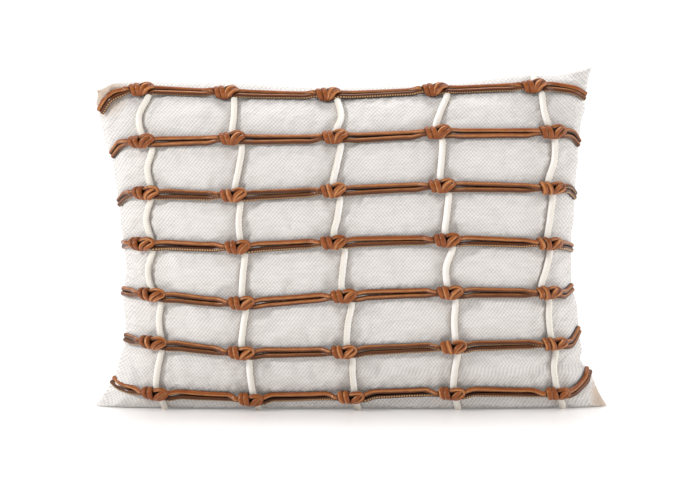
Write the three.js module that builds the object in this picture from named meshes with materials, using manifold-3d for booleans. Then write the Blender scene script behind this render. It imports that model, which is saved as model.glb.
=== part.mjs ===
// Lumbar throw pillow with a knotted leather net sewn over its front.
//
// A woven cover, closed by a zip across its back, holds a lined insert full of polyester fibre.
// Seven rows of doubled tan cord run from side seam to side seam and are tied round five upright
// ivory cords. The pillow stands on its bottom edge, which its weight presses flat.
//
// Millimetres. +Z is up, the net faces -Y, and the origin is the middle of the footprint.

import * as THREE from 'three';
import { mergeVertices } from 'three/addons/utils/BufferGeometryUtils.js';
import Module from 'manifold-3d';

const wasm = await Module();
wasm.setup();

// ---------- driving dimensions ----------

const PILLOW_WIDTH = 452; // corner tip to corner tip along the floor
const PILLOW_HEIGHT = 298; // floor to the highest corner tip
const FRONT_CROWN = 56; // how far the front swells forward of the seam
const BACK_CROWN = 58; // how far the back swells behind the seam

const SEAM_HALF_THICKNESS = 1.8; // of the sewn edge itself
const SIDE_PULL_IN = 26; // how far each side seam is drawn in between its corners
const TOP_SAG = 10; // how far the top seam hangs between its corners
const LEFT_EAR_DROP = 13; // the top left corner ear flops lower than the right one
const RIGHT_EAR_DRAW_IN = 15; // the top right corner ear stands up and inward

const FULLEST_HEIGHT = 0.42; // where the swell is deepest, as a share of the height
const FLOOR_SWELL = 0.42; // share of the swell that the flattened bottom keeps
const SWELL_ACROSS = { power: 4.5, roundness: 0.6 };
const SWELL_ABOVE = { power: 2.4, roundness: 0.6 };
const SWELL_BELOW = { power: 2.2, roundness: 1 / 2.2 };

const FABRIC = 1.2; // woven cover
const LINING = 0.6; // insert casing
const LAYER_GAP = 0.8; // between one layer and the next inside the pillow
const TOUCH_GAP = 0.3; // between pieces that lie against each other
// How far each layer's rim lies in from the seam, as a share of the panels' outermost strip. The
// strip beyond the cover's own share is sewn solid.
const RIM = { cover: 0.3, insert: 0.38, lining: 0.45, filling: 0.53 };

const STRAND_DIAMETER = 4.5; // tan cord, two to a row
const KNOT_STRAND_DIAMETER = 6.2; // each strand with its own turns round a knot
const KNOT_LENGTH = 22;
const ROW_END_INSET = 5; // from each side seam to where a row's visible end is sewn in
const UPRIGHT_DIAMETER = 5.6; // ivory cord
const UPRIGHT_END_INSET = 3; // from the top seam to an upright's sewn end
const UPRIGHT_FOOT = 6; // height of its lower end, where the bottom edge turns under
const NET_GAP = 0.9; // between the net and the smooth front
const KNOT_GAP = 1.0; // between an upright and the strands tied over it

const ZIP_HEIGHT = 55; // of the zip's centre line above the floor
const ZIP_LENGTH = 260; // of its coils
const ZIP_OPENING = 6; // gap between the two back panels over the coils
const TAPE_WIDTH = 11; // each tape, from the zip's middle outwards
const TAPE_THICKNESS = 0.6;
const TAPE_OVERRUN = 9; // each tape past the end of its coil
const COIL = { width: 1.8, thickness: 1.8 };
const COIL_SPACING = 1.0; // clear gap between the coils, where the slider's post runs
const STOP_LENGTH = 2.4;

const SLIDER = { length: 9, width: 8.4, plate: 1.2, lowerPlate: 1.0, post: 3 };
const CROWN = { length: 6, width: 2, metal: 0.8 }; // the slider's bridge that the pull hangs on
const PIN_DIAMETER = 1.4; // cross bar of the pull
const EYE_METAL = 0.9; // of the pull, round its cross bar
const PULL = { length: 26, width: 6.4, thickness: 1.4 };

// The net as it lies on the nominal pillow: knot centres [x, z], row by row from the top.
const KNOTS = [
  [[-184, 278], [-110, 275], [-21, 273], [72, 277], [158, 281]],
  [[-181, 233], [-104, 235], [-15, 236], [74, 240], [172, 241]],
  [[-176, 189], [-102, 187], [-16, 191], [77, 195], [171, 193]],
  [[-179, 145], [-98, 143], [-16, 147], [81, 149], [169, 145]],
  [[-171, 101], [-95, 95], [-7, 101], [84, 104], [168, 102]],
  [[-170, 59], [-96, 52], [-7, 53], [87, 57], [174, 58]],
  [[-170, 15], [-88, 12], [-1, 14], [86, 17], [178, 15]],
];
const ROW_ENDS = [[260, 273], [222, 232], [180, 186], [143, 140], [102, 105], [61, 68], [23, 32]];
const NET_WIDTH = 452; // pillow size that the net's points are given for
const NET_HEIGHT = 298;

// ---------- values worked out from them ----------

const UPRIGHT_LIFT = NET_GAP + UPRIGHT_DIAMETER / 2;
const STRAND_LIFT = NET_GAP + STRAND_DIAMETER / 2;
const KNOT_LIFT = NET_GAP + UPRIGHT_DIAMETER + KNOT_GAP + KNOT_STRAND_DIAMETER / 2;
const FRONT_DEPTH = SEAM_HALF_THICKNESS + FRONT_CROWN + KNOT_LIFT + KNOT_STRAND_DIAMETER / 2;
const BACK_DEPTH = SEAM_HALF_THICKNESS + BACK_CROWN;
const SEAM_Y = (FRONT_DEPTH - BACK_DEPTH) / 2; // keeps the whole pillow centred on the origin
const FAR = 2 * PILLOW_WIDTH; // larger than the pillow, for the boxes that split it

const material = (color, roughness, metalness = 0) =>
  new THREE.MeshStandardMaterial({ color, roughness, metalness });

// ---------- solids ----------

function solidOf(geometry) {
  const bare = geometry.clone();
  bare.deleteAttribute('normal');
  bare.deleteAttribute('uv');
  const merged = mergeVertices(bare, 1e-4);
  return new wasm.Manifold(
    new wasm.Mesh({
      numProp: 3,
      vertProperties: Float32Array.from(merged.attributes.position.array),
      triVerts: Uint32Array.from(merged.index.array),
    }),
  );
}

function geometryOf(solid) {
  const mesh = solid.getMesh();
  const geometry = new THREE.BufferGeometry();
  geometry.setAttribute('position', new THREE.BufferAttribute(mesh.vertProperties, 3));
  geometry.setIndex(new THREE.BufferAttribute(mesh.triVerts, 1));
  geometry.computeVertexNormals();
  return geometry;
}

function boxSolid(low, high) {
  const size = high.map((value, axis) => value - low[axis]);
  const middle = high.map((value, axis) => (value + low[axis]) / 2);
  return solidOf(new THREE.BoxGeometry(...size).translate(...middle));
}

function named(name, geometry, finish) {
  const mesh = new THREE.Mesh(geometry, finish);
  mesh.name = name;
  return mesh;
}

// ---------- the pillow's form ----------

const lerp = THREE.MathUtils.lerp;
const drop = (t, { power, roundness }) => Math.max(0, 1 - Math.abs(t) ** power) ** roundness;

// Side seams: u = -1 is the left one and u = 1 the right one, v is the height from 0 to 1.
function sideX(side, v) {
  const pull = (1 - Math.abs(2 * v - 1) ** 4) * (1 - 0.45 * v * v);
  const drawnIn = side > 0 ? RIGHT_EAR_DRAW_IN * v : 0;
  return side * (PILLOW_WIDTH / 2 - drawnIn - SIDE_PULL_IN * pull);
}

function outlineX(u, v) {
  return lerp(sideX(-1, v), sideX(1, v), (u + 1) / 2);
}

// The top seam slants from ear to ear and sags; the sag fades out towards the zip.
function topDrop(u, v) {
  const fade = THREE.MathUtils.clamp((v - 0.3) / 0.7, 0, 1) ** 2;
  return fade * (LEFT_EAR_DROP * (1 - u) / 2 + TOP_SAG * (1 - u * u));
}

function outlineZ(u, v) {
  return PILLOW_HEIGHT * v - topDrop(u, v);
}

// Share of the full swell at u, v.
function swell(u, v) {
  const above = v > FULLEST_HEIGHT;
  const t = above ? (v - FULLEST_HEIGHT) / (1 - FULLEST_HEIGHT) : 1 - v / FULLEST_HEIGHT;
  const upward = above ? drop(t, SWELL_ABOVE) : lerp(FLOOR_SWELL, 1, drop(t, SWELL_BELOW));
  return drop(u, SWELL_ACROSS) * upward;
}

// ---------- the zip's place in the back ----------

const ZIP_V = ZIP_HEIGHT / PILLOW_HEIGHT;
const TAPE_HALF = ZIP_LENGTH / 2 + TAPE_OVERRUN;
const TAPE_MARGIN = 2; // of straight cover past the tapes, all round
const ZIP_U = (TAPE_HALF + TAPE_MARGIN) / sideX(1, ZIP_V);
const TAPE_REACH = COIL_SPACING / 2 + TAPE_WIDTH; // from the zip's middle to a tape's outer edge
const TAPE_EDGE_V = ZIP_V - (TAPE_REACH + TAPE_MARGIN) / PILLOW_HEIGHT;
const ZIP_DEPTH = SEAM_HALF_THICKNESS + BACK_CROWN * swell(ZIP_U, TAPE_EDGE_V);
const ZIP_VALLEY = { lip: ZIP_OPENING / 2, inner: TAPE_REACH + TAPE_MARGIN, outer: 26, rise: 9 };
const SLIDER_ROOM = 2.4; // how much deeper the insert lies behind the slider's lower plate

// The zip draws the back in to a straight line, so the slider has a straight run.
function backDepth(u, v, behindSlider) {
  const crown = SEAM_HALF_THICKNESS + BACK_CROWN * swell(u, v);
  const away = Math.abs(PILLOW_HEIGHT * v - ZIP_HEIGHT);
  const floor = behindSlider ? ZIP_DEPTH - SLIDER_ROOM : ZIP_DEPTH;
  const start = behindSlider ? ZIP_VALLEY.inner : ZIP_VALLEY.lip;
  const climb = Math.max(0, away - start) / (ZIP_VALLEY.outer - start);
  return Math.min(crown, lerp(floor, ZIP_DEPTH + ZIP_VALLEY.rise, climb));
}

// Grid lines of every layer: close together at the edges and at the zip.
const HALF_COLUMNS = [0, ZIP_U / 2, ZIP_U, ...[0.35, 0.62, 0.84, 1].map((s) => lerp(ZIP_U, 1, s))];
const COLUMN_LINES = [...HALF_COLUMNS.slice(1).map((u) => -u).reverse(), ...HALF_COLUMNS];
const ZIP_LINES = [-ZIP_VALLEY.outer, -ZIP_VALLEY.inner, -ZIP_VALLEY.lip]
  .concat([ZIP_VALLEY.lip, ZIP_VALLEY.inner, ZIP_VALLEY.outer])
  .map((offset) => ZIP_V + offset / PILLOW_HEIGHT);
const ABOVE_ZIP = ZIP_LINES[ZIP_LINES.length - 1];
const ROW_LINES = [0, ZIP_LINES[0] / 2, ...ZIP_LINES]
  .concat([0.13, 0.28, 0.44, 0.6, 0.75, 0.87, 0.95, 1].map((s) => lerp(ABOVE_ZIP, 1, s)));
const COLUMNS = COLUMN_LINES.length - 1;
const ROWS = ROW_LINES.length - 1;

function gridPoint(i, j, behindSlider) {
  const u = COLUMN_LINES[i];
  const v = ROW_LINES[j];
  return {
    x: outlineX(u, v),
    z: outlineZ(u, v),
    front: SEAM_HALF_THICKNESS + FRONT_CROWN * swell(u, v),
    back: backDepth(u, v, behindSlider),
  };
}

function mixPoints(a, b, share) {
  const mixed = {};
  for (const key of ['x', 'z', 'front', 'back']) mixed[key] = lerp(a[key], b[key], share);
  return mixed;
}

// A closed pillow form lying `inset` inside the outer one. Its rim is moved in from the seam by
// `rim`, a share of the outermost strip, so that the strip beyond it stays solid.
function layerSolid(inset, rim, behindSlider) {
  const box = new THREE.BoxGeometry(COLUMNS, 1, ROWS, COLUMNS, 1, ROWS);
  const corners = box.attributes.position;
  for (let n = 0; n < corners.count; n += 1) {
    const i = Math.round(corners.getX(n) + COLUMNS / 2);
    const j = Math.round(corners.getZ(n) + ROWS / 2);
    const nextI = THREE.MathUtils.clamp(i, 1, COLUMNS - 1);
    const nextJ = Math.min(j, ROWS - 1);
    const along = (row) =>
      mixPoints(gridPoint(i, row, behindSlider), gridPoint(nextI, row, behindSlider), rim);
    const point = mixPoints(along(j), along(nextJ), rim);
    const y = corners.getY(n) < 0 ? SEAM_Y - point.front + inset : SEAM_Y + point.back - inset;
    corners.setXYZ(n, point.x, y, Math.max(point.z, inset));
  }
  return solidOf(box);
}

// ---------- cover, insert and filling ----------

const INSERT_INSET = FABRIC + LAYER_GAP;
const FILLING_INSET = INSERT_INSET + LINING + LAYER_GAP;

function halves(shell) {
  const front = boxSolid([-FAR, -FAR, -FAR], [FAR, SEAM_Y - TOUCH_GAP / 2, FAR]);
  const back = boxSolid([-FAR, SEAM_Y + TOUCH_GAP / 2, -FAR], [FAR, FAR, FAR]);
  return { front: shell.intersect(front), back: shell.intersect(back) };
}

function buildCover(group) {
  const fabric = () => material('#e8e4de', 0.92);
  const shell = layerSolid(0, 0, false).subtract(layerSolid(FABRIC, RIM.cover, false));
  const { front, back } = halves(shell);
  group.add(named('front_panel', geometryOf(front), fabric()));

  const slotHalf = ZIP_LENGTH / 2 + STOP_LENGTH + TOUCH_GAP;
  const slot = boxSolid(
    [-slotHalf, 0, ZIP_HEIGHT - ZIP_OPENING / 2],
    [slotHalf, FAR, ZIP_HEIGHT + ZIP_OPENING / 2],
  );
  const open = back.subtract(slot);
  const above = boxSolid([-FAR, -FAR, ZIP_HEIGHT + TOUCH_GAP / 2], [FAR, FAR, FAR]);
  const below = boxSolid([-FAR, -FAR, -FAR], [FAR, FAR, ZIP_HEIGHT - TOUCH_GAP / 2]);
  group.add(named('upper_back_panel', geometryOf(open.intersect(above)), fabric()));
  group.add(named('lower_back_panel', geometryOf(open.intersect(below)), fabric()));
}

function buildInsert(group) {
  const lining = () => material('#f2f1ee', 0.85);
  const outer = layerSolid(INSERT_INSET, RIM.insert, true);
  const inner = layerSolid(INSERT_INSET + LINING, RIM.lining, true);
  const { front, back } = halves(outer.subtract(inner));
  group.add(named('insert_front_lining', geometryOf(front), lining()));
  group.add(named('insert_back_lining', geometryOf(back), lining()));
  const filling = layerSolid(FILLING_INSET, RIM.filling, true);
  group.add(named('fibre_filling', geometryOf(filling), material('#fafafa', 1)));
}

// ---------- the net ----------

// Finds u and v of a point on the front from its x and z.
function frontPlace(x, z) {
  let u = 0;
  let v = z / PILLOW_HEIGHT;
  for (let round = 0; round < 8; round += 1) {
    v = THREE.MathUtils.clamp((z + topDrop(u, v)) / PILLOW_HEIGHT, 0, 1);
    u = THREE.MathUtils.clamp(THREE.MathUtils.inverseLerp(sideX(-1, v), sideX(1, v), x) * 2 - 1, -1, 1);
  }
  return { u, v };
}

function frontY(x, z) {
  const { u, v } = frontPlace(x, z);
  return SEAM_Y - SEAM_HALF_THICKNESS - FRONT_CROWN * swell(u, v);
}

function frontNormal(x, z) {
  const reach = 1;
  const slopeX = (frontY(x + reach, z) - frontY(x - reach, z)) / (2 * reach);
  const slopeZ = (frontY(x, z + reach) - frontY(x, z - reach)) / (2 * reach);
  return new THREE.Vector3(slopeX, -1, slopeZ).normalize();
}

// A point `lift` off the front over x, z.
function onFront(x, z, lift) {
  return new THREE.Vector3(x, frontY(x, z), z).addScaledVector(frontNormal(x, z), lift);
}

const netX = (x) => x * PILLOW_WIDTH / NET_WIDTH;

// A height in the net keeps its share of the way up to the top seam, which sags by a fixed amount.
function netZ(x, z) {
  const sag = topDrop(THREE.MathUtils.clamp((2 * x) / NET_WIDTH, -1, 1), 1);
  return z * (PILLOW_HEIGHT - sag) / (NET_HEIGHT - sag);
}

// A closed round bar bent through `stops`, each with its own radius: a strand and its knots.
function bentBar(stops, sides) {
  const bar = new THREE.CylinderGeometry(1, 1, 1, sides, stops.length - 1);
  const corners = bar.attributes.position;
  const frames = stops.map((stop, n) => {
    const before = stops[Math.max(n - 1, 0)].at;
    const after = stops[Math.min(n + 1, stops.length - 1)].at;
    const along = after.clone().sub(before).normalize();
    const side = new THREE.Vector3(0, 0, 1).cross(along).normalize();
    return { side, up: along.clone().cross(side) };
  });
  for (let n = 0; n < corners.count; n += 1) {
    const step = Math.round((corners.getY(n) + 0.5) * (stops.length - 1));
    const { at, radius } = stops[step];
    const { side, up } = frames[step];
    const point = at
      .clone()
      .addScaledVector(side, corners.getZ(n) * radius)
      .addScaledVector(up, corners.getX(n) * radius);
    corners.setXYZ(n, point.x, point.y, point.z);
  }
  bar.deleteAttribute('normal');
  bar.deleteAttribute('uv');
  return mergeVertices(bar, 1e-4);
}

// A row's middle line: flat on the cover between knots, lifted over each upright where it is tied.
function rowPlaces(row) {
  const knots = KNOTS[row].map(([x, z]) => [netX(x), netZ(x, z)]);
  const ends = ROW_ENDS[row].map((z, n) => netZ((n - 0.5) * NET_WIDTH, z));
  const edge = (side, z) => sideX(side, z / PILLOW_HEIGHT) - side * ROW_END_INSET;
  const first = [edge(-1, ends[0]), ends[0]];
  const last = [edge(1, ends[1]), ends[1]];
  const lying = ([x, z]) => ({ x, z, lift: STRAND_LIFT, tied: false });
  const lifted = (x, z, drop, tied) => ({ x, z, lift: KNOT_LIFT - drop, tied });
  const half = KNOT_LENGTH / 2;
  const taper = 3; // length of each knot's rounded end
  const firstTie = [knots[0][0] - half, knots[0][1]];
  const lastTie = [knots[knots.length - 1][0] + half, knots[knots.length - 1][1]];
  const places = [first, midway(first, firstTie, 0.35), midway(first, firstTie, 0.7)].map(lying);
  knots.forEach(([x, z], n) => {
    places.push(lifted(x - half, z, 1, false), lifted(x - half + taper, z, 0, true));
    places.push(lifted(x + half - taper, z, 0, true), lifted(x + half, z, 1, false));
    if (n + 1 < knots.length) {
      for (const share of [0.27, 0.5, 0.73]) places.push(lying(midway([x, z], knots[n + 1], share)));
    }
  });
  places.push(...[midway(lastTie, last, 0.35), midway(lastTie, last, 0.7), last].map(lying));
  return places;
}

// One strand of a row, beside the middle line: `above` is 1 for the upper and -1 for the lower.
function strandStops(row, above) {
  const places = rowPlaces(row);
  const middle = places.map(({ x, z, lift }) => onFront(x, z, lift));
  return places.map(({ x, z, tied }, n) => {
    const before = middle[Math.max(n - 1, 0)];
    const after = middle[Math.min(n + 1, middle.length - 1)];
    const upward = after.clone().sub(before).cross(frontNormal(x, z)).normalize();
    const radius = (tied ? KNOT_STRAND_DIAMETER : STRAND_DIAMETER) / 2;
    const spread = KNOT_STRAND_DIAMETER / 2 + TOUCH_GAP / 2;
    const beside = tied ? spread : STRAND_DIAMETER / 2 + TOUCH_GAP / 2;
    return { at: middle[n].clone().addScaledVector(upward, above * beside), radius };
  });
}

function midway(a, b, share) {
  return [lerp(a[0], b[0], share), lerp(a[1], b[1], share)];
}

// An upright follows its column of knots from the top seam to the turn of the bottom edge.
function uprightCurve(column) {
  const places = KNOTS.map((row) => [netX(row[column][0]), netZ(...row[column])]);
  const topU = frontPlace(...places[0]).u;
  const top = [outlineX(topU, 1), outlineZ(topU, 1) - UPRIGHT_END_INSET];
  const foot = [places[places.length - 1][0], UPRIGHT_FOOT];
  const route = [top, ...places, foot];
  const points = [onFront(...top, UPRIGHT_LIFT)];
  route.slice(1).forEach((place, n) => {
    for (const share of [0.5, 1]) points.push(onFront(...midway(route[n], place, share), UPRIGHT_LIFT));
  });
  return new THREE.CatmullRomCurve3(points, false, 'centripetal');
}

function roundShape(radius, sides) {
  const points = [];
  for (let n = 0; n < sides; n += 1) {
    const angle = (n / sides) * 2 * Math.PI;
    points.push(new THREE.Vector2(radius * Math.cos(angle), radius * Math.sin(angle)));
  }
  return new THREE.Shape(points);
}

function buildNet(group) {
  KNOTS.forEach((row, n) => {
    for (const [word, above] of [['upper', 1], ['lower', -1]]) {
      const strand = bentBar(strandStops(n, above), 6);
      group.add(named(`row_${n + 1}_${word}_strand`, strand, material('#a15f38', 0.45)));
    }
  });
  KNOTS[0].forEach((place, column) => {
    const cord = new THREE.ExtrudeGeometry(roundShape(UPRIGHT_DIAMETER / 2, 8), {
      steps: 32,
      curveSegments: 1,
      extrudePath: uprightCurve(column),
    });
    group.add(named(`upright_cord_${column + 1}`, cord, material('#f3f0e9', 0.5)));
  });
}

// ---------- the zip ----------

const PANEL_FACE = SEAM_Y + ZIP_DEPTH; // outer face of the back panels along the zip
const TAPE_FACE = PANEL_FACE - FABRIC - TOUCH_GAP;
const COIL_BASE = TAPE_FACE + TOUCH_GAP;
const COIL_FACE = COIL_BASE + COIL.thickness;
const SLIDER_BASE = COIL_FACE + TOUCH_GAP; // underside of the slider's upper plate
const SLIDER_FACE = SLIDER_BASE + SLIDER.plate;
const EYE_RADIUS = PIN_DIAMETER / 2 + EYE_METAL;
const PIN_Y = SLIDER_FACE + TOUCH_GAP + EYE_RADIUS;
const CROWN_RISE = PIN_DIAMETER / 2 + TOUCH_GAP + CROWN.metal; // of the crown's top above the pin
const CLOSED_X = ZIP_LENGTH / 2 - SLIDER.length / 2 - 1; // slider's middle with the zip shut

function buildTapesAndCoils(group) {
  const inner = COIL_SPACING / 2;
  for (const [word, side] of [['upper', 1], ['lower', -1]]) {
    const tape = new THREE.BoxGeometry(2 * TAPE_HALF, TAPE_THICKNESS, TAPE_WIDTH);
    const tapeMesh = named(`zip_${word}_tape`, tape, material('#e4dfd6', 0.9));
    const tapeZ = ZIP_HEIGHT + side * (inner + TAPE_WIDTH / 2);
    tapeMesh.position.set(0, TAPE_FACE - TAPE_THICKNESS / 2, tapeZ);
    group.add(tapeMesh);

    const coil = new THREE.BoxGeometry(ZIP_LENGTH, COIL.thickness, COIL.width);
    const coilMesh = named(`zip_${word}_coil`, coil, material('#ded8cd', 0.5));
    const coilZ = ZIP_HEIGHT + side * (inner + COIL.width / 2);
    coilMesh.position.set(0, COIL_BASE + COIL.thickness / 2, coilZ);
    group.add(coilMesh);
  }
}

function buildStops(group) {
  const width = 2 * COIL.width + COIL_SPACING;
  for (const [word, side] of [['closed', 1], ['open', -1]]) {
    const stop = new THREE.BoxGeometry(STOP_LENGTH - TOUCH_GAP, COIL.thickness, width);
    const mesh = named(`zip_${word}_end_stop`, stop, material('#b9b4aa', 0.35, 1));
    const x = side * (ZIP_LENGTH / 2 + TOUCH_GAP + (STOP_LENGTH - TOUCH_GAP) / 2);
    mesh.position.set(x, COIL_BASE + COIL.thickness / 2, ZIP_HEIGHT);
    group.add(mesh);
  }
}

// Two plates joined by a thin post between the coils, with a bored crown for the pull on top.
function sliderGeometry() {
  const half = SLIDER.length / 2;
  const wide = SLIDER.width / 2;
  const lowerTop = TAPE_FACE - TAPE_THICKNESS - TOUCH_GAP;
  const postWide = COIL_SPACING / 2 - TOUCH_GAP;
  const upper = boxSolid([-half, SLIDER_BASE, -wide], [half, SLIDER_FACE, wide]);
  const lower = boxSolid([-half, lowerTop - SLIDER.lowerPlate, -wide], [half, lowerTop, wide]);
  const post = boxSolid(
    [half - SLIDER.post, lowerTop - SLIDER.lowerPlate / 2, -postWide],
    [half, SLIDER_BASE + SLIDER.plate / 2, postWide],
  );
  const crown = boxSolid(
    [-CROWN.length / 2, SLIDER_FACE - SLIDER.plate / 2, -CROWN.width / 2],
    [CROWN.length / 2, PIN_Y + CROWN_RISE, CROWN.width / 2],
  );
  const bore = pinSolid(PIN_DIAMETER / 2 + TOUCH_GAP, CROWN.width + 1);
  return geometryOf(upper.add(lower).add(post).add(crown).subtract(bore));
}

function pinSolid(radius, length) {
  const pin = new THREE.CylinderGeometry(radius, radius, length, 16).rotateX(Math.PI / 2);
  return solidOf(pin.translate(0, PIN_Y, 0));
}

// The pull's two prongs pass either side of the crown, and its cross bar runs through the bore.
function pullGeometry() {
  const wide = PULL.width / 2;
  const thick = PULL.thickness / 2;
  const window = CROWN.width / 2 + TOUCH_GAP;
  const clear = Math.hypot(CROWN.length / 2, CROWN_RISE) + TOUCH_GAP;
  const tab = boxSolid([-PULL.length, PIN_Y - thick, -wide], [0, PIN_Y + thick, wide]);
  const eye = pinSolid(EYE_RADIUS, PULL.width);
  const through = 2 * EYE_RADIUS; // past the pull's faces and its rounded end
  const opening = boxSolid(
    [-clear, PIN_Y - through, -window],
    [through, PIN_Y + through, window],
  );
  const bar = pinSolid(PIN_DIAMETER / 2, PULL.width - 1);
  return geometryOf(tab.add(eye).subtract(opening).add(bar));
}

function buildSlider(group) {
  const metal = () => material('#b08d57', 0.35, 1);
  const carriage = new THREE.Group();
  carriage.position.set(CLOSED_X, 0, ZIP_HEIGHT);
  carriage.add(named('zip_slider', sliderGeometry(), metal()));
  carriage.add(named('zip_pull_tab', pullGeometry(), metal()));
  group.add(carriage);
}

// ---------- the whole pillow ----------

const pillow = new THREE.Group();
buildCover(pillow);
buildInsert(pillow);
buildTapesAndCoils(pillow);
buildStops(pillow);
buildSlider(pillow);
buildNet(pillow);

export default pillow;
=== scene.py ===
# %% [markdown]
# # A lumbar pillow under a knotted leather net
#
# The pillow is a zipped woven cover around a soft insert. Seven rows of doubled tan cord cross its
# front and are tied round five upright ivory cords, so the cover swells between them like a quilt.
#
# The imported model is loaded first. It is the fixed frame: every piece below is built in its metres,
# with the net facing -Y, the floor at z = 0 and the origin in the middle of the footprint.

# %% Load the frame
import math

import bpy
import numpy as np
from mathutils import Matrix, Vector


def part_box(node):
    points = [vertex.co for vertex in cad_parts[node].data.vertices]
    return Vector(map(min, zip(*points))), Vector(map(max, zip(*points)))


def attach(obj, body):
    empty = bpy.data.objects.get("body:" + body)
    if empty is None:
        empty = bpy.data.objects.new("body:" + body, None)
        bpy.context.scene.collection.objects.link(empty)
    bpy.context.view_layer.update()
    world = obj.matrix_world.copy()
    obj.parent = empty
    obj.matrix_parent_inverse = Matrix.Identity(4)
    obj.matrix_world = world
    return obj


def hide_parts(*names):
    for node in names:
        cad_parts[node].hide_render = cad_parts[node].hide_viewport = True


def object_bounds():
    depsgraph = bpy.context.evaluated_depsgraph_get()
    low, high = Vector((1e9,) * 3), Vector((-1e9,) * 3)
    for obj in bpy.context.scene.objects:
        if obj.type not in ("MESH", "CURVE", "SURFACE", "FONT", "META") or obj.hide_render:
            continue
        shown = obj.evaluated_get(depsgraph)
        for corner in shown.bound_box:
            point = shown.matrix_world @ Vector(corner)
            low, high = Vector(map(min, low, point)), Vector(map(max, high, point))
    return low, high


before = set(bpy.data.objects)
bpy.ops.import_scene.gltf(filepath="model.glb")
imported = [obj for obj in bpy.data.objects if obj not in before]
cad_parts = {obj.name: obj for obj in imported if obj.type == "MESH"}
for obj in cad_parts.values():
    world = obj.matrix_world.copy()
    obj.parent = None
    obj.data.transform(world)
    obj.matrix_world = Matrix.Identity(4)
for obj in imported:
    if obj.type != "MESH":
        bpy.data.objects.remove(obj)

cad_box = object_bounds()
MM = 0.001
print("CAD box in metres:", [[round(v, 4) for v in corner] for corner in cad_box])

# %% [markdown]
# ## The pillow's measurements
#
# Everything overall comes from the frame: the outline from the cover's boxes, the seam's plane from
# where the front panel ends, the swell from how far each panel reaches past that plane.

# %% Read the sizes from the frame
front_low, front_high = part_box("front_panel")
back_low, back_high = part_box("upper_back_panel")
tape_low, tape_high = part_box("zip_upper_tape")

WIDTH = front_high[0] - front_low[0]
HEIGHT = front_high[2]
SEAM_Y = (front_high[1] + back_low[1]) / 2
EDGE = 1.8 * MM
FRONT_CROWN = SEAM_Y - front_low[1] - EDGE
BACK_CROWN = back_high[1] - SEAM_Y - EDGE
ZIP_Z = (tape_low[2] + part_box("zip_lower_tape")[1][2]) / 2
FABRIC = 1.2 * MM
ZIP_FACE = tape_high[1] + FABRIC + 0.3 * MM
print(f"pillow {WIDTH:.3f} x {HEIGHT:.3f} m, seam at y {SEAM_Y:.4f}, zip at z {ZIP_Z:.3f}")

# %% [markdown]
# The outline is drawn with two shares: u runs from the left seam (-1) to the right seam (1) and v
# from the floor (0) to the top (1). The side seams pull in between the corner ears and the top seam
# sags, as on any filled rectangle. The swell is a crowned dome that keeps some depth at the floor,
# where the pillow's weight presses it flat.

# %% Outline and swell
SIDE_PULL_IN = 26 * MM
TOP_SAG = 10 * MM
LEFT_EAR_DROP = 13 * MM
RIGHT_EAR_DRAW_IN = 15 * MM
FULLEST = 0.42
FLOOR_SWELL = 0.42


# A sewn edge is never quite fair. Each pair is a share of the way along and the millimetres by
# which the seam stands out there: up the left side, up the right side, and along the top.
LEFT_WANDER = [(0, 0), (0.11, -3), (0.2, -4), (0.33, 0), (0.41, -3.5), (0.52, -1), (0.7, 2),
               (0.84, 6.5), (0.93, 6), (1, 0)]
RIGHT_WANDER = [(0, 0), (0.1, 2), (0.135, -3), (0.17, 1), (0.29, 2), (0.36, -2), (0.5, -1.5),
                (0.62, 1.5), (0.74, 3), (0.88, 2.5), (1, 0)]
TOP_WANDER = [(-1, -1), (-0.93, 3), (-0.5, 4), (0, -1.5), (0.47, -2.3), (0.72, 0), (0.86, -3.5), (1, 0)]


def wander(pairs, t):
    """Eased interpolation through the pairs, in metres."""
    knots = np.array(pairs, dtype=float)
    n = np.clip(np.searchsorted(knots[:, 0], t, side="right") - 1, 0, len(knots) - 2)
    share = np.clip((t - knots[n, 0]) / (knots[n + 1, 0] - knots[n, 0]), 0, 1)
    share = share * share * (3 - 2 * share)
    return (knots[n, 1] * (1 - share) + knots[n + 1, 1] * share) * MM


def side_x(side, v):
    pull = (1 - np.abs(2 * v - 1) ** 4) * (1 - 0.45 * v * v)
    drawn_in = RIGHT_EAR_DRAW_IN * v if side > 0 else 0
    stands_out = wander(RIGHT_WANDER if side > 0 else LEFT_WANDER, v)
    return side * (WIDTH / 2 - drawn_in - SIDE_PULL_IN * pull + stands_out)


def outline_x(u, v):
    return side_x(-1, v) + (side_x(1, v) - side_x(-1, v)) * (u + 1) / 2


def top_drop(u, v):
    fade = np.clip((v - 0.3) / 0.7, 0, 1) ** 2
    return fade * (LEFT_EAR_DROP * (1 - u) / 2 + TOP_SAG * (1 - u * u) - wander(TOP_WANDER, u))


def swell(u, v):
    above = np.clip((v - FULLEST) / (1 - FULLEST), 0, 1)
    below = np.clip(1 - v / FULLEST, 0, 1)
    upward = np.where(v > FULLEST, (1 - above**2.4) ** 0.6,
                      FLOOR_SWELL + (1 - FLOOR_SWELL) * (1 - below**2.2) ** (1 / 2.2))
    return np.clip(1 - np.abs(u) ** 4.5, 0, 1) ** 0.6 * upward


EAR_FLOP = 19 * MM
EAR_SPREAD = 21 * MM


def ear_flop(u, v):
    """How far the top left ear flops forward."""
    from_tip = np.hypot((u + 1) * WIDTH / 2, (1 - v) * HEIGHT)
    return EAR_FLOP * np.exp(-(from_tip / EAR_SPREAD) ** 2)


def place_of(x, z):
    """u and v of a point on the front, from its x and z."""
    u, v = 0.0, z / HEIGHT
    for _ in range(8):
        v = min(max((z + top_drop(u, v)) / HEIGHT, 0), 1)
        left, right = side_x(-1, v), side_x(1, v)
        u = min(max((x - left) / (right - left) * 2 - 1, -1), 1)
    return u, v


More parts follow.
